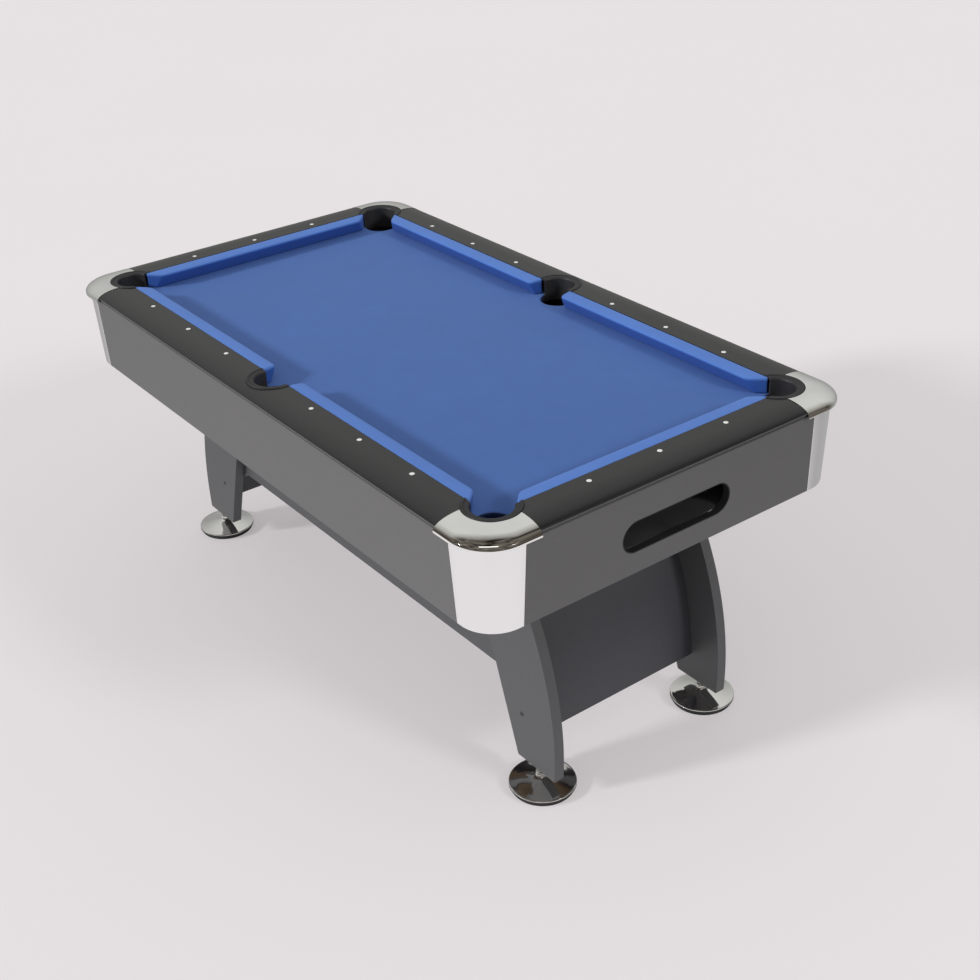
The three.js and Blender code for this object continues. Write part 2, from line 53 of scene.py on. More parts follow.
# each corner: its side in x and in y, and the turn that brings it there from return_back
CORNERS = {
    "return_back": (1, 1, 0),
    "head_back": (-1, 1, math.pi / 2),
    "head_front": (-1, -1, math.pi),
    "return_front": (1, -1, -math.pi / 2),
}
POCKET_INSET = 114
SIDE_POCKET_Y = 414
FOOT_X = 728
LEG_Y = 245

# the skirt boards: top edge, height, setback from the rail at the top, and lean over the height
APRON_TOP = 767.4
APRON_HEIGHT = 192.9
APRON_SETBACK = 5
APRON_LEAN = 8
SLOT_HEIGHT = 662.5


# ---- camera ---------------------------------------------------------------------------
def place_camera():
    data = bpy.data.cameras.new("camera")
    data.sensor_width = 36
    data.lens = CAMERA_LENS
    data.clip_end = 200
    camera = bpy.data.objects.new("camera", data)
    bpy.context.scene.collection.objects.link(camera)
    back = Vector(CAMERA_BACK)
    right = Vector(CAMERA_RIGHT)
    up = back.cross(right)
    turn = Matrix((right, up, back)).transposed().to_4x4()
    camera.matrix_world = Matrix.Translation(CAMERA_PLACE) @ turn
    bpy.context.scene.camera = camera


# ---- material helpers -------------------------------------------------------------------
class Shader:
    """A material under construction, with object coordinates in metres."""

    def __init__(self, name):
        self.material = bpy.data.materials.new(name)
        self.material.use_nodes = True
        self.tree = self.material.node_tree
        self.bsdf = self.tree.nodes["Principled BSDF"]
        self.place = self.add("ShaderNodeTexCoord").outputs["Object"]

    def add(self, kind, inputs=None, **settings):
        made = self.tree.nodes.new(kind)
        for key, value in settings.items():
            setattr(made, key, value)
        for key, value in (inputs or {}).items():
            if isinstance(value, bpy.types.NodeSocket):
                self.tree.links.new(value, made.inputs[key])
            else:
                made.inputs[key].default_value = value
        return made

    def link(self, value, socket):
        self.tree.links.new(value, self.bsdf.inputs[socket])

    def fixed(self, **values):
        for key, value in values.items():
            self.bsdf.inputs[key.replace("_", " ")].default_value = value

    def stretched(self, scale):
        mapping = self.add("ShaderNodeMapping", {"Vector": self.place, "Scale": scale})
        return mapping.outputs["Vector"]

    def noise(self, scale, detail=3, rough=0.5, at=None, distortion=0.0):
        made = self.add(
            "ShaderNodeTexNoise",
            {
                "Vector": self.place if at is None else at,
                "Scale": scale,
                "Detail": detail,
                "Roughness": rough,
                "Distortion": distortion,
            },
        )
        return made.outputs["Fac"]

    def bands(self, axis, scale, distortion=0.0):
        made = self.add(
            "ShaderNodeTexWave",
            {"Vector": self.place, "Scale": scale, "Distortion": distortion},
            wave_type="BANDS",
            bands_direction=axis,
        )
        return made.outputs["Fac"]

    def cells(self, scale):
        made = self.add("ShaderNodeTexVoronoi", {"Vector": self.place, "Scale": scale})
        return made.outputs["Distance"]

    def span(self, value, low, high, start=0.0, end=1.0):
        inputs = {"Value": value, "From Min": start, "From Max": end, "To Min": low, "To Max": high}
        return self.add("ShaderNodeMapRange", inputs).outputs["Result"]

    def sums(self, first, second, operation="ADD"):
        made = self.add("ShaderNodeMath", {0: first, 1: second}, operation=operation)
        return made.outputs["Value"]

    def colours(self, value, *stops):
        made = self.add("ShaderNodeValToRGB", {"Fac": value})
        ramp = made.color_ramp
        while len(ramp.elements) < len(stops):
            ramp.elements.new(0.5)
        for element, (position, colour) in zip(ramp.elements, stops):
            element.position = position
            element.color = (*colour, 1)
        return made.outputs["Color"]

    def mixed(self, value, first, second, blend="MIX"):
        made = self.add("ShaderNodeMix", {0: value}, data_type="RGBA", blend_type=blend)
        for index, colour in ((6, first), (7, second)):
            if isinstance(colour, bpy.types.NodeSocket):
                self.tree.links.new(colour, made.inputs[index])
            else:
                made.inputs[index].default_value = (*colour, 1)
        return made.outputs[2]

    def bump(self, height, strength, distance, under=None):
        inputs = {"Height": height, "Strength": strength, "Distance": distance}
        if under is not None:
            inputs["Normal"] = under
        return self.add("ShaderNodeBump", inputs).outputs["Normal"]


def linear(colour):
    """A colour given as 0 to 255 screen values, in linear light."""
    parts = [value / 255 for value in colour]
    return tuple(p / 12.92 if p <= 0.04045 else ((p + 0.055) / 1.055) ** 2.4 for p in parts)


def scaled(colour, factor):
    return tuple(min(1.0, value * factor) for value in colour)


def around(shader, value, colour, spread):
    """The colour, varied by a share either way as the value goes from 0.25 to 0.75."""
    low, high = scaled(colour, 1 - spread), scaled(colour, 1 + spread)
    return shader.colours(value, (0.25, low), (0.75, high))


# ---- materials --------------------------------------------------------------------------
def cloth(name, colour, shade, span):
    """Fine worsted cloth: 0.8 mm threads under a short nap.

    It is darkened towards a painted shade colour as it goes down through the span, two heights in
    millimetres.
    """
    s = Shader(name)
    weave = s.sums(s.bands("X", 390, 0.6), s.bands("Y", 390, 0.6), "MULTIPLY")
    fibres = s.noise(1500, 3, 0.7, s.stretched((0.35, 1, 1)))
    broad = s.noise(2.3, 2)
    patches = s.noise(17, 4, 0.6)
    tint = around(s, s.sums(s.sums(broad, patches), 0.5, "MULTIPLY"), colour, 0.09)
    threads = s.mixed(s.span(weave, 0.0, 0.3), tint, scaled(colour, 1.25))
    speckled = s.mixed(s.span(fibres, 0.0, 0.28, 0.35, 0.8), threads, scaled(colour, 0.55))
    # painted shade: the colour is multiplied towards the shade colour lower down
    height = s.add("ShaderNodeSeparateXYZ", {"Vector": s.place}).outputs["Z"]
    under = s.span(height, 1.0, 0.0, span[0] * MM, span[1] * MM)
    s.link(s.mixed(under, speckled, s.mixed(1.0, speckled, shade, "MULTIPLY")), "Base Color")
    s.link(s.span(patches, 0.84, 0.96), "Roughness")
    normal = s.bump(weave, 0.25, 0.0002)
    s.link(s.bump(fibres, 0.2, 0.00015, normal), "Normal")
    s.fixed(Sheen_Weight=0.1, Sheen_Roughness=0.45, Sheen_Tint=(0.6, 0.75, 1.0, 1.0))
    s.fixed(Specular_IOR_Level=0.2)
    return s.material


def grain_of(s, axis):
    """Streaks along one axis, with their fine pores."""
    scales = {"X": (1.6, 60, 60), "Y": (60, 1.6, 60), "Z": (60, 60, 1.6)}
    streaks = s.noise(4, 5, 0.62, s.stretched(scales[axis]), 0.3)
    long_pores = {"X": (14, 420, 420), "Y": (420, 14, 420), "Z": (420, 420, 14)}
    pores = s.noise(3, 2, 0.6, s.stretched(long_pores[axis]))
    return streaks, pores


def laminate(name, colour, axis, rough, spread=0.06, edge=None):
    """Satin laminate on board, with a printed grain and a light pore texture."""
    s = Shader(name)
    streaks, pores = grain_of(s, axis)
    clouds = s.noise(6, 3)
    tint = around(s, s.sums(s.sums(streaks, clouds), 0.5, "MULTIPLY"), colour, spread)
    shade = s.mixed(s.span(pores, 0.0, 0.35, 0.45, 0.8), tint, scaled(colour, 0.72))
    if edge is not None:
        shade = edge(s, shade)
    s.link(shade, "Base Color")
    s.link(s.sums(s.span(clouds, rough - 0.05, rough + 0.05), s.span(pores, 0, 0.06)), "Roughness")
    normal = s.bump(pores, 0.16, 0.0002)
    s.link(s.bump(s.noise(900, 2), 0.05, 0.0001, normal), "Normal")
    s.fixed(Specular_IOR_Level=0.4)
    return s.material


# the heights in metres over which the band, and the painted highlight line above it, fade out
BAND_FADE = (0.7776, 0.7780)
HIGHLIGHT_FADE = (0.7788, 0.7794)


def rail_band(band, painted_highlight):
    """The narrow band under the rolled edge, with a painted highlight line where they meet."""

    def painted(s, shade):
        height = s.add("ShaderNodeSeparateXYZ", {"Vector": s.place}).outputs["Z"]
        low = s.span(height, 1.0, 0.0, *BAND_FADE)
        # painted highlight: a thin paler line along the top of the band
        highlight_mask = s.span(height, 1.0, 0.0, *HIGHLIGHT_FADE)
        with_highlight = s.mixed(highlight_mask, shade, painted_highlight)
        return s.mixed(low, with_highlight, band)

    return painted


def chrome(name, tint=(0.9, 0.9, 0.885), rough=(0.015, 0.045)):
    """Mirror plating with faint wiping marks and a little haze."""
    s = Shader(name)
    haze = s.noise(22, 4, 0.6)
    wipes = s.noise(5, 3, 0.6, s.stretched((90, 8, 90)), 0.6)
    s.link(around(s, haze, tint, 0.03), "Base Color")
    s.link(s.sums(s.span(haze, *rough, 0.35, 0.75), s.span(wipes, 0, 0.02)), "Roughness")
    s.link(s.bump(s.noise(60, 2), 0.02, 0.0002, s.bump(wipes, 0.012, 0.0001)), "Normal")
    s.fixed(Metallic=1.0)
    return s.material


def satin(name, tint):
    """Plated sheet with a fine upright brushing."""
    s = Shader(name)
    brushed = s.noise(6, 3, 0.7, s.stretched((260, 260, 5)))
    haze = s.noise(9, 3)
    s.link(around(s, s.sums(s.sums(brushed, haze), 0.5, "MULTIPLY"), tint, 0.03), "Base Color")
    s.link(s.sums(s.span(haze, 0.13, 0.2), s.span(brushed, 0, 0.06)), "Roughness")
    s.link(s.bump(brushed, 0.05, 0.0001), "Normal")
    s.fixed(Metallic=1.0)
    return s.material


def moulded(name, colour, rough, pebble=700, strength=0.12):
    """Moulded plastic with a fine spark-eroded skin."""
    s = Shader(name)
    skin = s.cells(pebble)
    clouds = s.noise(14, 3)
    s.link(around(s, clouds, colour, 0.18), "Base Color")
    s.link(s.sums(s.span(clouds, rough - 0.06, rough + 0.06), s.span(skin, 0, 0.08)), "Roughness")
    s.link(s.bump(skin, strength, 0.0002, s.bump(s.noise(40, 2), 0.04, 0.0005)), "Normal")
    s.fixed(Specular_IOR_Level=0.45)
    return s.material


def fibreboard(name, colour):
    """Raw pressed board: matted fibres with darker flecks."""
    s = Shader(name)
    fibres = s.noise(260, 4, 0.7, s.stretched((1, 0.25, 1)))
    flecks = s.noise(520, 2, 0.6)
    clouds = s.noise(5, 3)
    tint = around(s, s.sums(s.sums(fibres, clouds), 0.5, "MULTIPLY"), colour, 0.16)
    s.link(s.mixed(s.span(flecks, 0, 0.5, 0.6, 0.75), tint, scaled(colour, 0.45)), "Base Color")
    s.link(s.span(fibres, 0.8, 0.95), "Roughness")
    s.link(s.bump(fibres, 0.25, 0.0004), "Normal")
    return s.material


def pearl(name):
    """The milky plastic of a rail sight."""
    s = Shader(name)
    layers = s.noise(160, 3, 0.6, s.stretched((1, 2.5, 1)), 1.2)
    s.link(s.colours(layers, (0.3, (0.72, 0.73, 0.7)), (0.7, (0.88, 0.88, 0.86))), "Base Color")
    s.link(s.span(layers, 0.16, 0.28), "Roughness")
    s.link(s.bump(layers, 0.03, 0.0001), "Normal")
    s.fixed(Coat_Weight=0.4, Coat_Roughness=0.1)
    return s.material


BLUE = linear((70, 104, 168))
RAIL_GREY = linear((34, 34, 35))
# the band's own grey, with a pale painted highlight line along its top
RAIL_EDGE = rail_band(linear((54, 54, 56)), linear((120, 120, 120)))
MATERIALS = {
    # bed cloth: painted shade where it turns down into the pockets
    "bed_cloth": cloth("bed_cloth_weave", BLUE, (0.1, 0.16, 0.24), (748.5, 751.8)),
    # cushion cloth: 1.42 times lighter than the bed cloth, partly painted light and partly the
    # stretched cloth's own paler look, with painted shade down the nose and face
    "cushion": cloth("cushion_weave", scaled(BLUE, 1.42), (0.3, 0.44, 0.62), (783.5, 788.5)),
    "rail_x": laminate("rail_laminate_x", RAIL_GREY, "X", 0.25, 0.1, RAIL_EDGE),
    "rail_y": laminate("rail_laminate_y", RAIL_GREY, "Y", 0.25, 0.1, RAIL_EDGE),
    "apron_x": laminate("apron_laminate_x", linear((97, 97, 98)), "X", 0.42),
    "apron_y": laminate("apron_laminate_y", linear((91, 91, 92)), "Y", 0.42),
    "leg": laminate("leg_laminate_z", linear((81, 82, 84)), "Z", 0.44),
    "panel": laminate("leg_laminate_x", linear((76, 77, 80)), "X", 0.44),
    # end panels drawn darker than the legs and side panels: painted shade for their recess under
    # the end aprons
    "panel_y_painted_shade": laminate("leg_laminate_y_painted_shade", linear((62, 62, 67)), "Y", 0.42),
    "liner": moulded("liner_plastic", linear((38, 38, 41)), 0.5),
    "gutter": moulded("gutter_plastic", linear((62, 61, 62)), 0.6, 420),
    "chrome": chrome("cap_chrome"),
    "satin_cover": satin("cover_satin", (0.93, 0.93, 0.935)),
    "foot_chrome": chrome("foot_plating", (0.86, 0.855, 0.835), (0.05, 0.11)),
    "foot_rubber": moulded("foot_rubber_skin", linear((42, 42, 42)), 0.75, 300, 0.2),
    "raw_board": fibreboard("raw_fibreboard", linear((138, 120, 98))),
    "pearl": pearl("sight_pearl"),
    "cap_plastic": moulded("bolt_cover_plastic", linear((52, 52, 54)), 0.5, 900),
    "nut_steel": chrome("nut_plating", (0.8, 0.8, 0.79), (0.14, 0.24)),
}


# ---- mesh helpers -------------------------------------------------------------------------
def new_object(name, mesh):
    made = bpy.data.objects.new(name, mesh)
    bpy.context.scene.collection.objects.link(made)
    return made


def settle(obj):
    """Applies the object's modifiers to its mesh."""
    bpy.context.view_layer.update()
    ready = obj.evaluated_get(bpy.context.evaluated_depsgraph_get())
    mesh = bpy.data.meshes.new_from_object(ready)
    obj.modifiers.clear()
    obj.data = mesh
    return obj


def dress(obj, material, body="table", stands_for=()):
    """Gives a piece its look, the body it rides and the CAD nodes it stands for."""
    obj.data.materials.clear()
    obj.data.materials.append(MATERIALS[material])
    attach(obj, body)
    if stands_for:
        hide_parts(*stands_for)


def smooth(obj, keep_sharp=50):
    obj.data.polygons.foreach_set("use_smooth", [True] * len(obj.data.polygons))
    obj.data.set_sharp_from_angle(angle=math.radians(keep_sharp))


def eased(obj, width, angle=38):
    """Rounds the hard edges a little, and keeps the flat faces flat in the shading."""
    bevel = obj.modifiers.new("edges", "BEVEL")
    bevel.width = width * MM
    bevel.segments = 2
    bevel.limit_method = "ANGLE"
    bevel.angle_limit = math.radians(angle)
    obj.data.polygons.foreach_set("use_smooth", [True] * len(obj.data.polygons))
    weighted = obj.modifiers.new("normals", "WEIGHTED_NORMAL")
    weighted.keep_sharp = True
    return settle(obj)


WELD_DISTANCE = 4e-6
FLAT_WITHIN = math.radians(0.4)


def refined(node, width, angle=38):
    """A copy of a CAD node with welded faces and softly rounded edges."""
    mesh = NODES[node].data.copy()
    mesh.normals_split_custom_set([(0, 0, 0)] * len(mesh.loops))
    bm = bmesh.new()
    bm.from_mesh(mesh)
    bmesh.ops.remove_doubles(bm, verts=bm.verts, dist=WELD_DISTANCE)
    bmesh.ops.dissolve_limit(bm, angle_limit=FLAT_WITHIN, verts=bm.verts, edges=bm.edges)
    for edge in bm.edges:
        edge.smooth = True
    bm.to_mesh(mesh)
    bm.free()
    copy = new_object(node + "_finished", mesh)
    return eased(copy, width, angle)


def from_rows(name, rows, closed_rows=True, closed_ends=False):
    """A skin through rows of points in millimetres; each row has the same count."""
    bm = bmesh.new()
    grid = [[bm.verts.new(Vector(p) * MM) for p in row] for row in rows]
    count = len(rows[0])
    steps = count if closed_rows else count - 1
    for first, second in zip(grid, grid[1:]):
        for i in range(steps):
            j = (i + 1) % count
            bm.faces.new((first[i], first[j], second[j], second[i]))
    if closed_ends:
        bm.faces.new(list(reversed(grid[0])))
        bm.faces.new(grid[-1])
    bmesh.ops.recalc_face_normals(bm, faces=bm.faces)
    mesh = bpy.data.meshes.new(name)
    bm.to_mesh(mesh)
    bm.free()
    return new_object(name, mesh)


def turned(name, profile, centre, segments=72, tilt=None):
    """A turned solid; profile is (radius, height) in millimetres.

    It starts and ends on the axis, or comes back to its first point to make a ring.
    """
    bm = bmesh.new()
    place = Matrix.Translation(Vector(centre) * MM)
    if tilt is not None:
        place = place @ tilt
    rings = []
    for radius, height in profile:
        if radius == 0:
            rings.append([bm.verts.new(place @ Vector((0, 0, height * MM)))])
            continue
        ring = []
        for i in range(segments):
            angle = 2 * math.pi * i / segments
            point = Vector((radius * math.cos(angle), radius * math.sin(angle), height)) * MM
            ring.append(bm.verts.new(place @ point))
        rings.append(ring)
    for first, second in zip(rings, rings[1:]):
        for i in range(segments):
            j = (i + 1) % segments
            if len(first) == 1:
                bm.faces.new((first[0], second[j], second[i]))
            elif len(second) == 1:
                bm.faces.new((first[i], first[j], second[0]))
            else:
                bm.faces.new((first[i], first[j], second[j], second[i]))
    bmesh.ops.recalc_face_normals(bm, faces=bm.faces)
    mesh = bpy.data.meshes.new(name)
    bm.to_mesh(mesh)
    bm.free()
    return new_object(name, mesh)


# ---- cushions -------------------------------------------------------------------------------
CUSHION_DEPTH = 37
CUSHION_GAP = 0.3
# where a cushion ends at the rail and at the nose: by a side pocket, measured from the middle of
# the table, and by a corner pocket, measured in from the table's edge
SIDE_END = (54, 61)
CORNER_END = (156, 190)
# the rounding of each end, the length it is modelled finely over, and the rows in that length
END_ROUND = 4.5
END_ZONE = 40
END_ROWS = (0, 0.4, 1.2, 2.4, END_ROUND, 8, 14, 24, END_ZONE)
ROW_SPACING = 45
# beyond this share of the depth the end curves in, by this much at the nose
TIP_START, TIP_SPAN, TIP_REACH = 0.7, 0.3, 6


def rounded_loop(corners):
    """Points round a polygon; each corner is (x, z, radius, steps)."""
    points = []
    count = len(corners)
    for i, (x, z, radius, steps) in enumerate(corners):
        here = Vector((x, z))
        before = (Vector(corners[i - 1][:2]) - here).normalized()
        after = (Vector(corners[(i + 1) % count][:2]) - here).normalized()
        half = before.angle(after) / 2
        reach = radius / math.tan(half)
        centre = here + (before + after).normalized() * (radius / math.sin(half))
        start, end = here + before * reach - centre, here + after * reach - centre
        for k in range(steps + 1):
            swept = start.normalized().slerp(end.normalized(), k / steps)
            points.append(centre + swept * radius)
    return points


def cushion_section():
    """Depth from the rail (0) to the nose (37), and height."""
    return rounded_loop([
        (0.2, 753.8, 1.0, 2),
        (0.2, 792.5, 2.2, 4),
        (12, 792.35, 60, 2),
        (24, 791.7, 60, 2),
        (36.9, 789.6, 3.0, 6),
        (35.8, 783.6, 5.0, 3),
        (20.4, 753.8, 1.2, 2),
    ])


def densified(points, limit):
    """The closed loop with no two neighbours further apart than the limit."""
    dense = []
    for i, point in enumerate(points):
        after = points[(i + 1) % len(points)]
        parts = max(1, math.ceil((after - point).length / limit))
        dense += [point.lerp(after, k / parts) for k in range(parts)]
    return dense


def cushion_piece(node, back, ends, turn):
    """back is the y of the rail face; ends are (x at the rail, x at the nose), low end first."""
    section = densified(cushion_section(), 6)
    middle = sum(section, Vector((0, 0))) / len(section)
    length = ends[1][0] - ends[0][0]
    inner = max(4, round((length - 2 * END_ZONE) / ROW_SPACING))
    stations = [(0, t) for t in END_ROWS]
    stations += [(k / inner, None) for k in range(1, inner)]
    stations += [(1, t) for t in reversed(END_ROWS)]

    def end_x(which, depth):
        share = depth / CUSHION_DEPTH
        at_rail, at_nose = ends[which]
        tip = max(0.0, (share - TIP_START) / TIP_SPAN) ** 2 * TIP_REACH
        return at_rail + (at_nose - at_rail) * share + (tip if which == 0 else -tip)

    def loop_at(where, t, inset):
        """One row: t in from end 0 or 1, or with no t at a share of the length between."""
        row = []
        for point in section:
            pull = (middle - point).normalized() * inset if inset else Vector((0, 0))
            depth, height = point + pull
            low, high = end_x(0, depth), end_x(1, depth)
            if t is None:
                x = low + END_ZONE + (high - low - 2 * END_ZONE) * where
            else:
                x = low + t if where == 0 else high - t
            row.append((x, back - depth, height))
        return row

    rows = []
    for where, t in stations:
        inset = 0.0
        if t is not None and t < END_ROUND:
            inset = END_ROUND - math.sqrt(END_ROUND**2 - (END_ROUND - t) ** 2)
        rows.append(loop_at(where, t, inset))
    for extra in (8.0, 12.0):
        rows.insert(0, loop_at(0, 0, extra))
        rows.append(loop_at(1, 0, extra))
    made = from_rows(node + "_padding", rows, True, True)
    made.data.transform(Matrix.Rotation(turn, 4, "Z"))
    smooth(made, 70)
    dress(made, "cushion", "table", [node])


def add_cushions():
    def minus(pair):
        return tuple(-value for value in pair)

    side_back = HALF_WIDTH - RAIL_WIDTH - CUSHION_GAP
    end_back = HALF_LENGTH - RAIL_WIDTH - CUSHION_GAP
    corner = tuple(HALF_LENGTH - inset for inset in CORNER_END)
    end_corner = tuple(HALF_WIDTH - inset for inset in CORNER_END)
    right, left = (SIDE_END, corner), (minus(corner), minus(SIDE_END))
    end = (minus(end_corner), end_corner)
    cushion_piece("cushion_back_return", side_back, right, 0)
    cushion_piece("cushion_back_head", side_back, left, 0)
    cushion_piece("cushion_front_head", side_back, right, math.pi)
    cushion_piece("cushion_front_return", side_back, left, math.pi)
    cushion_piece("cushion_end_return", end_back, end, -math.pi / 2)
    cushion_piece("cushion_end_head", end_back, end, math.pi / 2)


# ---- bed cloth -----------------------------------------------------------------------------
FIELD_HALF_X, FIELD_HALF_Y, FIELD_RADIUS = 858, 473, 73
RIM_POINTS = 72
CORNER_MOUTH, SIDE_MOUTH = math.radians(70), math.radians(78)
LIP_BLEND = math.radians(9)
# rows of a pocket's rim: radius and drop where the cloth turns down, then where it stays flat
LIP_ROWS = (
    (47.6, 0.0, 47.6, 0.0), (46.2, 0.25, 47.3, 0.0), (44.6, 0.9, 47.2, 0.1),
    (43.2, 2.2, 47.1, 0.2), (42.3, 4.4, 47.1, 0.3), (42.1, 9, 47.1, 0.4),
    (42.2, 15, 47.1, 0.5),
)


def pocket_rims():
    """Each pocket's centre, the middle of its open mouth and the half-width of that mouth."""
    x, y = HALF_LENGTH - POCKET_INSET, HALF_WIDTH - POCKET_INSET
    rims = []
    for sx, sy, _ in CORNERS.values():
        rims.append(((sx * x, sy * y), math.atan2(-sy, -sx), CORNER_MOUTH))
    for side in (1, -1):
        rims.append(((0, side * SIDE_POCKET_Y), -side * math.pi / 2, SIDE_MOUTH))
    return rims


def lip_share(angle, facing, half):
    """1 where the cloth turns down into the pocket, 0 under the liner's wall."""
    off = abs((angle - facing + math.pi) % (2 * math.pi) - math.pi)
    t = max(0.0, min(1.0, (half - off) / LIP_BLEND))
    return t * t * (3 - 2 * t)


def field_outline():
    x, y, r = FIELD_HALF_X - FIELD_RADIUS, FIELD_HALF_Y - FIELD_RADIUS, FIELD_RADIUS
    points = []
    for sx, sy, start in ((1, 1, 0), (-1, 1, 90), (-1, -1, 180), (1, -1, 270)):
        for k in range(9):
            angle = math.radians(start + 90 * k / 8)
            points.append((sx * x + r * math.cos(angle), sy * y + r * math.sin(angle)))
    return points


def add_bed_cloth():
    bm = bmesh.new()

    def joined(verts):
        return [bm.edges.new((a, b)) for a, b in zip(verts, verts[1:] + verts[:1])]

    edges = joined([bm.verts.new(Vector((x, y, CLOTH_TOP)) * MM) for x, y in field_outline()])
    lips = []
    for (cx, cy), facing, half in pocket_rims():
        rings = []
        for down_r, down, flat_r, flat in LIP_ROWS:
            row = []
            for i in range(RIM_POINTS):
                angle = 2 * math.pi * i / RIM_POINTS
                share = lip_share(angle, facing, half)
                radius = flat_r + (down_r - flat_r) * share
                height = CLOTH_TOP - (flat + (down - flat) * share)
                point = (cx + radius * math.cos(angle), cy + radius * math.sin(angle), height)
                row.append(bm.verts.new(Vector(point) * MM))
            rings.append(row)
        edges += joined(rings[0])
        lips.append(rings)
    bmesh.ops.triangle_fill(bm, use_beauty=True, edges=edges, normal=(0, 0, 1))
    for rings in lips:
        for outer, inner in zip(rings, rings[1:]):
            for i in range(RIM_POINTS):
                j = (i + 1) % RIM_POINTS
                bm.faces.new((outer[i], outer[j], inner[j], inner[i]))
    bmesh.ops.recalc_face_normals(bm, faces=bm.faces)
    flat_face = max(bm.faces, key=lambda face: face.calc_area())
    if flat_face.normal.z < 0:
        bmesh.ops.reverse_faces(bm, faces=bm.faces)
    mesh = bpy.data.meshes.new("bed_cloth_sheet")
    bm.to_mesh(mesh)
    bm.free()
    sheet = new_object("bed_cloth_sheet", mesh)
    thick = sheet.modifiers.new("thickness", "SOLIDIFY")
    thick.thickness = CLOTH_THICKNESS * MM
    thick.offset = -1
    settle(sheet)
    smooth(sheet, 55)
    level = 0.9999
    for face in sheet.data.polygons:
        if abs(face.normal.z) > level:
            face.use_smooth = False
    dress(sheet, "bed_cloth", "table", ["bed_cloth"])


# ---- corner caps ---------------------------------------------------------------------------
# how far a cap stands out past the rails, its corner radius, and its top and bottom heights
CAP_SIDE, CAP_RADIUS = 6, 95
CAP_TOP, CAP_BOTTOM = 794.5, 767.8
# the roll's width and drop; the solid's roll drops 16.5, and the photo's dark band needs more
CAP_ROLL, CAP_DROP = 62, 22
# its length back from the corner, its bite round the pocket, and its wall
CAP_LENGTH = 140
CAP_ARC = 62
CAP_WALL = 2.2
STRAIGHT_STEPS, TURN_STEPS, ROLL_STEPS = 12, 36, 16


def cap_lines():
    """Points on the cap's outer edge, the way out of it and how far in it reaches there."""
    end, bend = -CAP_LENGTH, CAP_SIDE - CAP_RADIUS
    lines = []
    for k in range(STRAIGHT_STEPS + 1):
        y = end + (bend - end) * k / STRAIGHT_STEPS
        inner = -POCKET_INSET + math.sqrt(CAP_ARC**2 - (y + POCKET_INSET) ** 2)
        lines.append(((CAP_SIDE, y), (1, 0), CAP_SIDE - inner))
    straight = list(reversed(lines))
    to_centre = bend + POCKET_INSET
    for k in range(1, TURN_STEPS):
        angle = math.pi / 2 * k / TURN_STEPS
        out = (math.cos(angle), math.sin(angle))
        along = to_centre * (out[0] + out[1])
        reach = -along + math.sqrt(along**2 - 2 * to_centre**2 + CAP_ARC**2)
        edge = (bend + CAP_RADIUS * out[0], bend + CAP_RADIUS * out[1])
        lines.append((edge, out, CAP_RADIUS - reach))
    return lines + [((y, x), (v, u), d) for (x, y), (u, v), d in straight]


def cap_height(inset):
    """The cap's height this far in from its edge: a quarter ellipse, then flat."""
    if inset >= CAP_ROLL:
        return CAP_TOP
    share = (CAP_ROLL - inset) / CAP_ROLL
    return CAP_TOP - CAP_DROP * (1 - math.sqrt(max(0.0, 1 - share**2)))


def cap_rows():
    """Each row runs up the skirt, over the roll and in to the pocket's edge."""
    skirt = [
        (0.9, CAP_BOTTOM), (0.25, CAP_BOTTOM + 0.4), (0.0, CAP_BOTTOM + 1.2),
        (0.0, CAP_BOTTOM + 3),
    ]
    rows = []
    for (x, y), (u, v), depth in cap_lines():
        row = [(x - u * d, y - v * d, z) for d, z in skirt]
        last = math.acos(1 - min(0.96 * depth, CAP_ROLL) / CAP_ROLL)
        turns = [last * k / ROLL_STEPS for k in range(ROLL_STEPS + 1)]
        insets = [CAP_ROLL * (1 - math.cos(turn)) for turn in turns]
        insets += [depth - 0.9, depth - 0.25, depth]
        drops = [0] * len(turns) + [0.05, 0.3, 1.1]
        row += [(x - u * d, y - v * d, cap_height(d) - drop) for d, drop in zip(insets, drops)]
        rows.append(row)
    return rows


def add_caps():
    for name, (sx, sy, turn) in CORNERS.items():
        cap = from_rows(f"corner_cap_{name}_plated", cap_rows(), closed_rows=False)
        up = max(cap.data.polygons, key=lambda face: face.center.z)
        if up.normal.z < 0:
            cap.data.flip_normals()
        shell = cap.modifiers.new("wall", "SOLIDIFY")
        shell.thickness = CAP_WALL * MM
        shell.offset = -1
        settle(cap)
        place = Matrix.Translation((sx * HALF_LENGTH * MM, sy * HALF_WIDTH * MM, 0))
        cap.data.transform(place @ Matrix.Rotation(turn, 4, "Z"))
        smooth(cap, 50)
        dress(cap, "chrome", "table", [f"corner_cap_{name}"])


# ---- feet ----------------------------------------------------------------------------------
FOOT_SEGMENTS = 96
THREAD_START, THREAD_END = 43.6, 95


def thread_profile(low, high, pitch=1.75, core=5.2, crest=5.95):
    points = []
    z = low
    while z + pitch < high:
        points += [(core, z), (crest, z + pitch * 0.4), (crest, z + pitch * 0.6)]
        z += pitch
    return points + [(core, z), (core - 0.6, high), (0, high)]


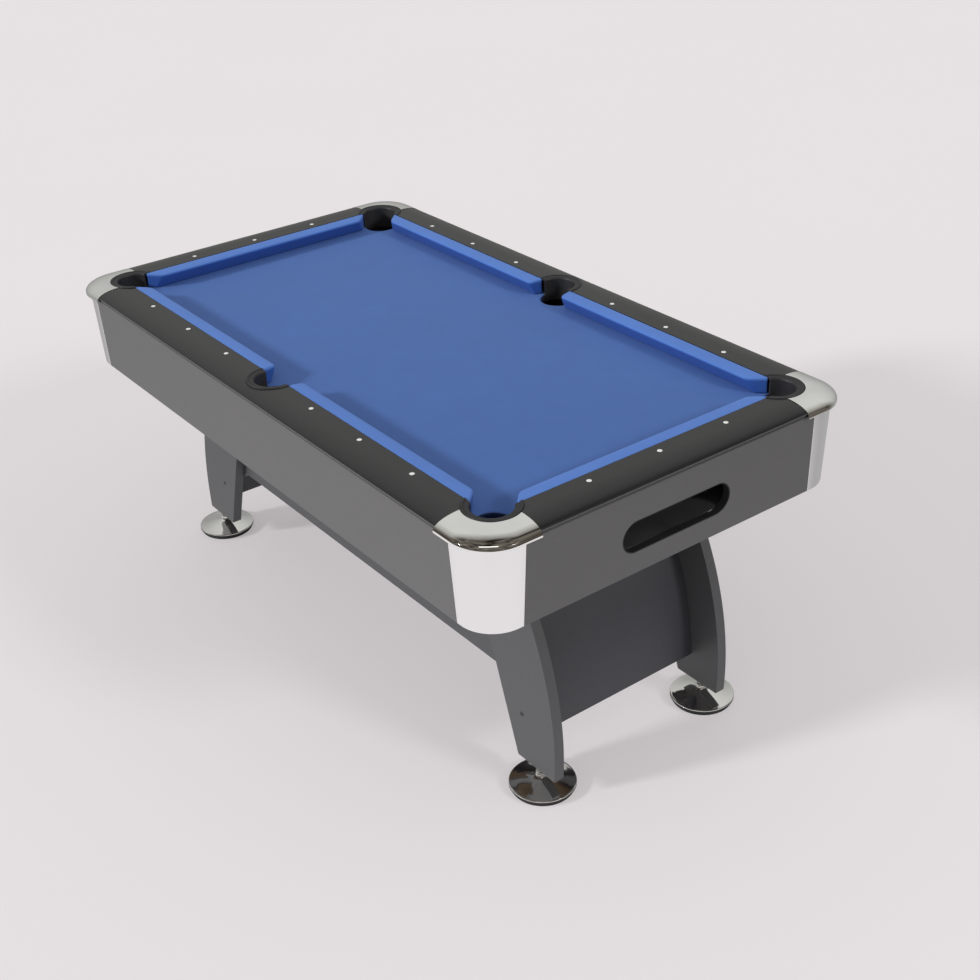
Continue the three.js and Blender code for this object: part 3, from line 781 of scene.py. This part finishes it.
def add_feet():
    dome = [
        (0, 8.4), (72.6, 8.4), (72.8, 13.3), (75.2, 13.4), (75.9, 13.9), (75.9, 15), (75.3, 15.9),
        (74, 16.5), (72.6, 16.4), (71.6, 16.7), (66, 17.9), (58, 20), (48, 22.9), (38, 25.6),
        (28, 28), (21, 29.8), (16.5, 31.4), (14.2, 33), (13.2, 35.2), (13, 38), (13, 40.6),
        (12.6, 41.4), (11.6, 41.8), (8.2, 42), (8.2, 43.4), (6, 43.5),
    ]
    pad = [
        (0, 0), (18, 0), (18.4, 0.9), (21.6, 0.9), (22, 0), (34, 0), (34.4, 0.9), (37.6, 0.9),
        (38, 0), (50, 0), (50.4, 0.9), (53.6, 0.9), (54, 0), (69.6, 0), (71.4, 0.5), (72, 1.6),
        (71.3, 2.6), (72, 3.6), (71.3, 4.6), (72, 5.6), (71.8, 7.2), (71, 8), (0, 8),
    ]
    band = [(73, 8.5), (75.3, 8.5), (75.9, 9.2), (75.9, 12.5), (75.3, 13.2), (73, 13.2), (73, 8.5)]
    hexagon = [
        (6.2, 44), (11.4, 44), (12.9, 44.8), (12.9, 48.3), (11.4, 49.1), (6.2, 49.1), (6.2, 44),
    ]
    stud = dome + thread_profile(THREAD_START, THREAD_END)
    for name, (sx, sy, _) in CORNERS.items():
        centre = (sx * FOOT_X, sy * LEG_Y, 0)
        screw = turned(f"foot_screw_{name}_plated", stud, centre, FOOT_SEGMENTS)
        smooth(screw, 42)
        dress(screw, "foot_chrome", f"screw_{name}", [f"foot_screw_{name}"])
        nut = turned(f"foot_nut_{name}", hexagon, centre, 6)
        dress(eased(nut, 0.25), "nut_steel", f"screw_{name}")
        rim = turned(f"foot_rim_{name}", band, centre, FOOT_SEGMENTS)
        smooth(rim, 40)
        dress(rim, "foot_rubber", f"screw_{name}")
        rubber = turned(f"foot_pad_{name}_ribbed", pad, centre, FOOT_SEGMENTS)
        smooth(rubber, 40)
        dress(rubber, "foot_rubber", f"pad_{name}", [f"foot_pad_{name}"])


# ---- the board pieces -----------------------------------------------------------------------
def add_refined(node, look, width, angle=38):
    dress(refined(node, width, angle), look, stands_for=[node])


def add_board_pieces():
    for side in ("back", "front"):
        add_refined(f"side_rail_{side}", "rail_x", 0.5, 40)
        add_refined(f"side_apron_{side}", "apron_x", 0.8)
        add_refined(f"side_panel_{side}", "panel", 0.8)
        add_refined(f"pocket_liner_side_{side}", "liner", 0.35, 45)
    for end in ("return", "head"):
        add_refined(f"end_rail_{end}", "rail_y", 0.5, 40)
        add_refined(f"end_apron_{end}", "apron_y", 0.8)
        add_refined(f"end_panel_{end}", "panel_y_painted_shade", 0.8)
    for name in CORNERS:
        add_refined(f"leg_{name}", "leg", 1.2)
        add_refined(f"corner_cover_{name}", "satin_cover", 0.8, 45)
        add_refined(f"pocket_liner_{name}", "liner", 0.35, 45)


def paint_hidden_nodes():
    """The CAD pieces that stay as they are take a material only."""
    looks = {
        "raw_board": ("playfield_board", "base_bearer", "field_beam", "corner_block"),
        "gutter": ("ball_return_tray", "ball_gutter"),
    }
    for look, prefixes in looks.items():
        for node in NODES:
            if node.startswith(prefixes):
                NODES[node].material_slots[0].material = MATERIALS[look]


# ---- small fittings ---------------------------------------------------------------------------
SIDE_SIGHT_X, SIDE_SIGHT_Y = (190, 380, 570), 430
END_SIGHT_X, END_SIGHT_Y = 818.5, (-185.7, 0, 185.7)
BOLT_X, BOLT_Y, BOLT_Z = 676, 258.05, 173


def add_sights():
    profile = [(0, 793.02), (5.3, 793.02), (5.5, 793.15), (5.3, 793.4), (4.4, 793.52), (0, 793.58)]
    sides = (1, -1)
    spots = [(sx * x, sy * SIDE_SIGHT_Y) for sy in sides for x in SIDE_SIGHT_X for sx in sides]
    spots += [(sx * END_SIGHT_X, y) for sx in sides for y in END_SIGHT_Y]
    for index, (x, y) in enumerate(spots, 1):
        sight = turned(f"rail_sight_{index:02d}", profile, (x, y, 0), 28)
        smooth(sight, 50)
        dress(sight, "pearl")


def add_leg_bolts():
    """A low plastic cover with a recessed middle on each leg's outer face."""
    profile = [
        (0, 0), (5.2, 0), (5.4, 0.3), (5.0, 1.0), (4.0, 1.25), (3.1, 1.1), (2.6, 0.5), (0, 0.4),
    ]
    for name, (sx, sy, _) in CORNERS.items():
        tilt = Matrix.Rotation(-sy * math.pi / 2, 4, "X")
        place = (sx * BOLT_X, sy * BOLT_Y, BOLT_Z)
        bolt = turned(f"leg_bolt_{name}", profile, place, 32, tilt)
        smooth(bolt, 50)
        dress(bolt, "cap_plastic")


def stadium(half, radius, steps=16):
    """The slot's outline as (y, z) points, from its half-length and end radius."""
    points = []
    for sign, start in ((1, -90), (-1, 90)):
        for k in range(steps + 1):
            angle = math.radians(start + 180 * k / steps)
            y = sign * (half - radius) + radius * math.cos(angle)
            points.append((y, SLOT_HEIGHT + radius * math.sin(angle)))
    return points


def add_slot_lining():
    """A thin black sleeve in the ball-return slot, cut off with the lean of the skirt."""

    def row(outline, depth):
        made = []
        for y, z in outline:
            face = HALF_LENGTH - (APRON_SETBACK + (APRON_TOP - z) / APRON_HEIGHT * APRON_LEAN)
            made.append((face - depth, y, z))
        return made

    outer, middle, inner = stadium(147.6, 37.1), stadium(146.7, 36.2), stadium(145.9, 35.4)
    length = 17.6
    rows = [
        row(outer, length), row(outer, 0.5), row(middle, 0.15), row(inner, 0.6), row(inner, length),
    ]
    rows.append(rows[0])
    sleeve = from_rows("return_slot_sleeve", rows)
    bm = bmesh.new()
    bm.from_mesh(sleeve.data)
    bmesh.ops.remove_doubles(bm, verts=bm.verts, dist=1e-6)
    bmesh.ops.recalc_face_normals(bm, faces=bm.faces)
    bm.to_mesh(sleeve.data)
    bm.free()
    smooth(sleeve, 40)
    dress(sleeve, "liner")


# ---- studio, in metres -------------------------------------------------------------------------
FLOOR_HALF = 40
WALL_RADIUS = 39
SHELL_RADIUS = 3.2


def add_floor():
    mesh = bpy.data.meshes.new("floor")
    h = FLOOR_HALF
    mesh.from_pydata([(-h, -h, 0), (h, -h, 0), (h, h, 0), (-h, h, 0)], [], [(0, 1, 2, 3)])
    floor = new_object("floor", mesh)
    s = Shader("floor_paint")
    s.link(around(s, s.noise(0.8, 2), (0.47, 0.45, 0.46), 0.006), "Base Color")
    s.fixed(Roughness=0.9, Specular_IOR_Level=0.0)
    s.fixed(Emission_Color=(1.0, 0.955, 0.97, 1), Emission_Strength=0.34)
    mesh.materials.append(s.material)
    # the floor is left out of reflections; the studio shell paints its reflection instead
    floor.visible_glossy = False


def glowing_sphere(name, radius, rings, s, colour, unseen_by):
    """A sphere that gives off its colour and is left out for some kinds of ray."""
    bpy.ops.mesh.primitive_uv_sphere_add(segments=2 * rings, ring_count=rings, radius=radius)
    sphere = bpy.context.object
    sphere.name = name
    s.link(colour, "Emission Color")
    s.fixed(Emission_Strength=1.0, Base_Color=(0, 0, 0, 1), Specular_IOR_Level=0.0)
    sphere.data.materials.append(s.material)
    for ray in (*unseen_by, "diffuse", "transmission", "shadow", "volume_scatter"):
        setattr(sphere, f"visible_{ray}", False)
    return sphere


def add_studio_shell():
    """What the mirror finishes see, painted on a glowing sphere that only reflections show: a pale
    backdrop, a painted ground in place of the floor, a dark room in front and one bright panel.
    """
    s = Shader("shell_paint")
    way = s.add("ShaderNodeVectorMath", {0: s.place}, operation="NORMALIZE").outputs["Vector"]

    def towards(direction):
        made = s.add("ShaderNodeVectorMath", {0: way, 1: direction}, operation="DOT_PRODUCT")
        return made.outputs["Value"]

    # level directions, towards the camera and to its right
    to_front, to_side = towards((0.807, -0.591, 0)), towards((0.591, 0.807, 0))
    up = towards((0, 0, 1))
    dark = s.sums(s.span(to_front, 0, 1, -0.22, 0.12), s.span(up, 0, 1, -0.15, -0.09), "MULTIPLY")
    backdrop = s.mixed(s.span(up, 0, 1, 0.25, 0.75), (0.34, 0.34, 0.33), (0.64, 0.64, 0.62))
    open_side = s.sums(to_front, s.sums(to_side, -0.35, "MULTIPLY"))
    ground = s.mixed(s.span(open_side, 0, 1, -0.25, 0.2), (0.42, 0.41, 0.41), (0.84, 0.81, 0.82))
    pale = s.mixed(s.span(up, 0, 1, -0.03, 0.06), ground, backdrop)
    patches = s.noise(4.5, 2, 0.5, way)
    brown = s.colours(patches, (0.35, (0.016, 0.013, 0.01)), (0.7, (0.22, 0.195, 0.165)))
    across = s.span(s.sums(to_side, 0.0, "ABSOLUTE"), 1, 0, 0.17, 0.19)
    along = s.span(s.sums(s.sums(to_front, -0.62), 0.0, "ABSOLUTE"), 1, 0, 0.035, 0.05)
    panel = s.sums(s.sums(across, along, "MULTIPLY"), s.span(up, 0, 1, 0.5, 0.55), "MULTIPLY")
    paint = s.mixed(panel, s.mixed(dark, pale, brown), (1.6, 1.57, 1.54))
    shell = glowing_sphere("studio_shell", SHELL_RADIUS, 24, s, paint, ["camera"])


def add_backdrop():
    """The pale studio wall far behind, seen by the camera only."""
    s = Shader("wall_paint")
    paint = around(s, s.noise(0.05, 2), (0.79, 0.755, 0.77), 0.01)
    wall = glowing_sphere("studio_wall", WALL_RADIUS, 32, s, paint, ["glossy"])


def add_sun(name, azimuth, elevation, energy, size):
    """A sun seen from the table at an azimuth and elevation; size is its width in degrees."""
    data = bpy.data.lights.new(name, "SUN")
    data.energy = energy
    data.angle = math.radians(size)
    lamp = bpy.data.objects.new(name, data)
    bpy.context.scene.collection.objects.link(lamp)
    a, e = math.radians(azimuth), math.radians(elevation)
    source = Vector((math.cos(a) * math.cos(e), math.sin(a) * math.cos(e), math.sin(e)))
    lamp.rotation_euler = source.to_track_quat("Z", "Y").to_euler()


def add_light():
    world = bpy.data.worlds.new("studio")
    bpy.context.scene.world = world
    world.use_nodes = True
    background = world.node_tree.nodes["Background"]
    background.inputs["Color"].default_value = (1.0, 0.985, 0.985, 1)
    background.inputs["Strength"].default_value = 0.56
    world.cycles_visibility.glossy = False
    add_sun("key", azimuth=-110, elevation=23, energy=2.1, size=8)
    add_sun("fill", azimuth=18, elevation=29, energy=0.95, size=12)
    scene = bpy.context.scene
    scene.view_settings.view_transform = "Standard"
    scene.view_settings.look = "None"


place_camera()
add_bed_cloth()
add_cushions()
add_caps()
add_feet()
add_board_pieces()
paint_hidden_nodes()
add_sights()
add_leg_bolts()
add_slot_lining()
add_floor()
add_studio_shell()
add_backdrop()
add_light()
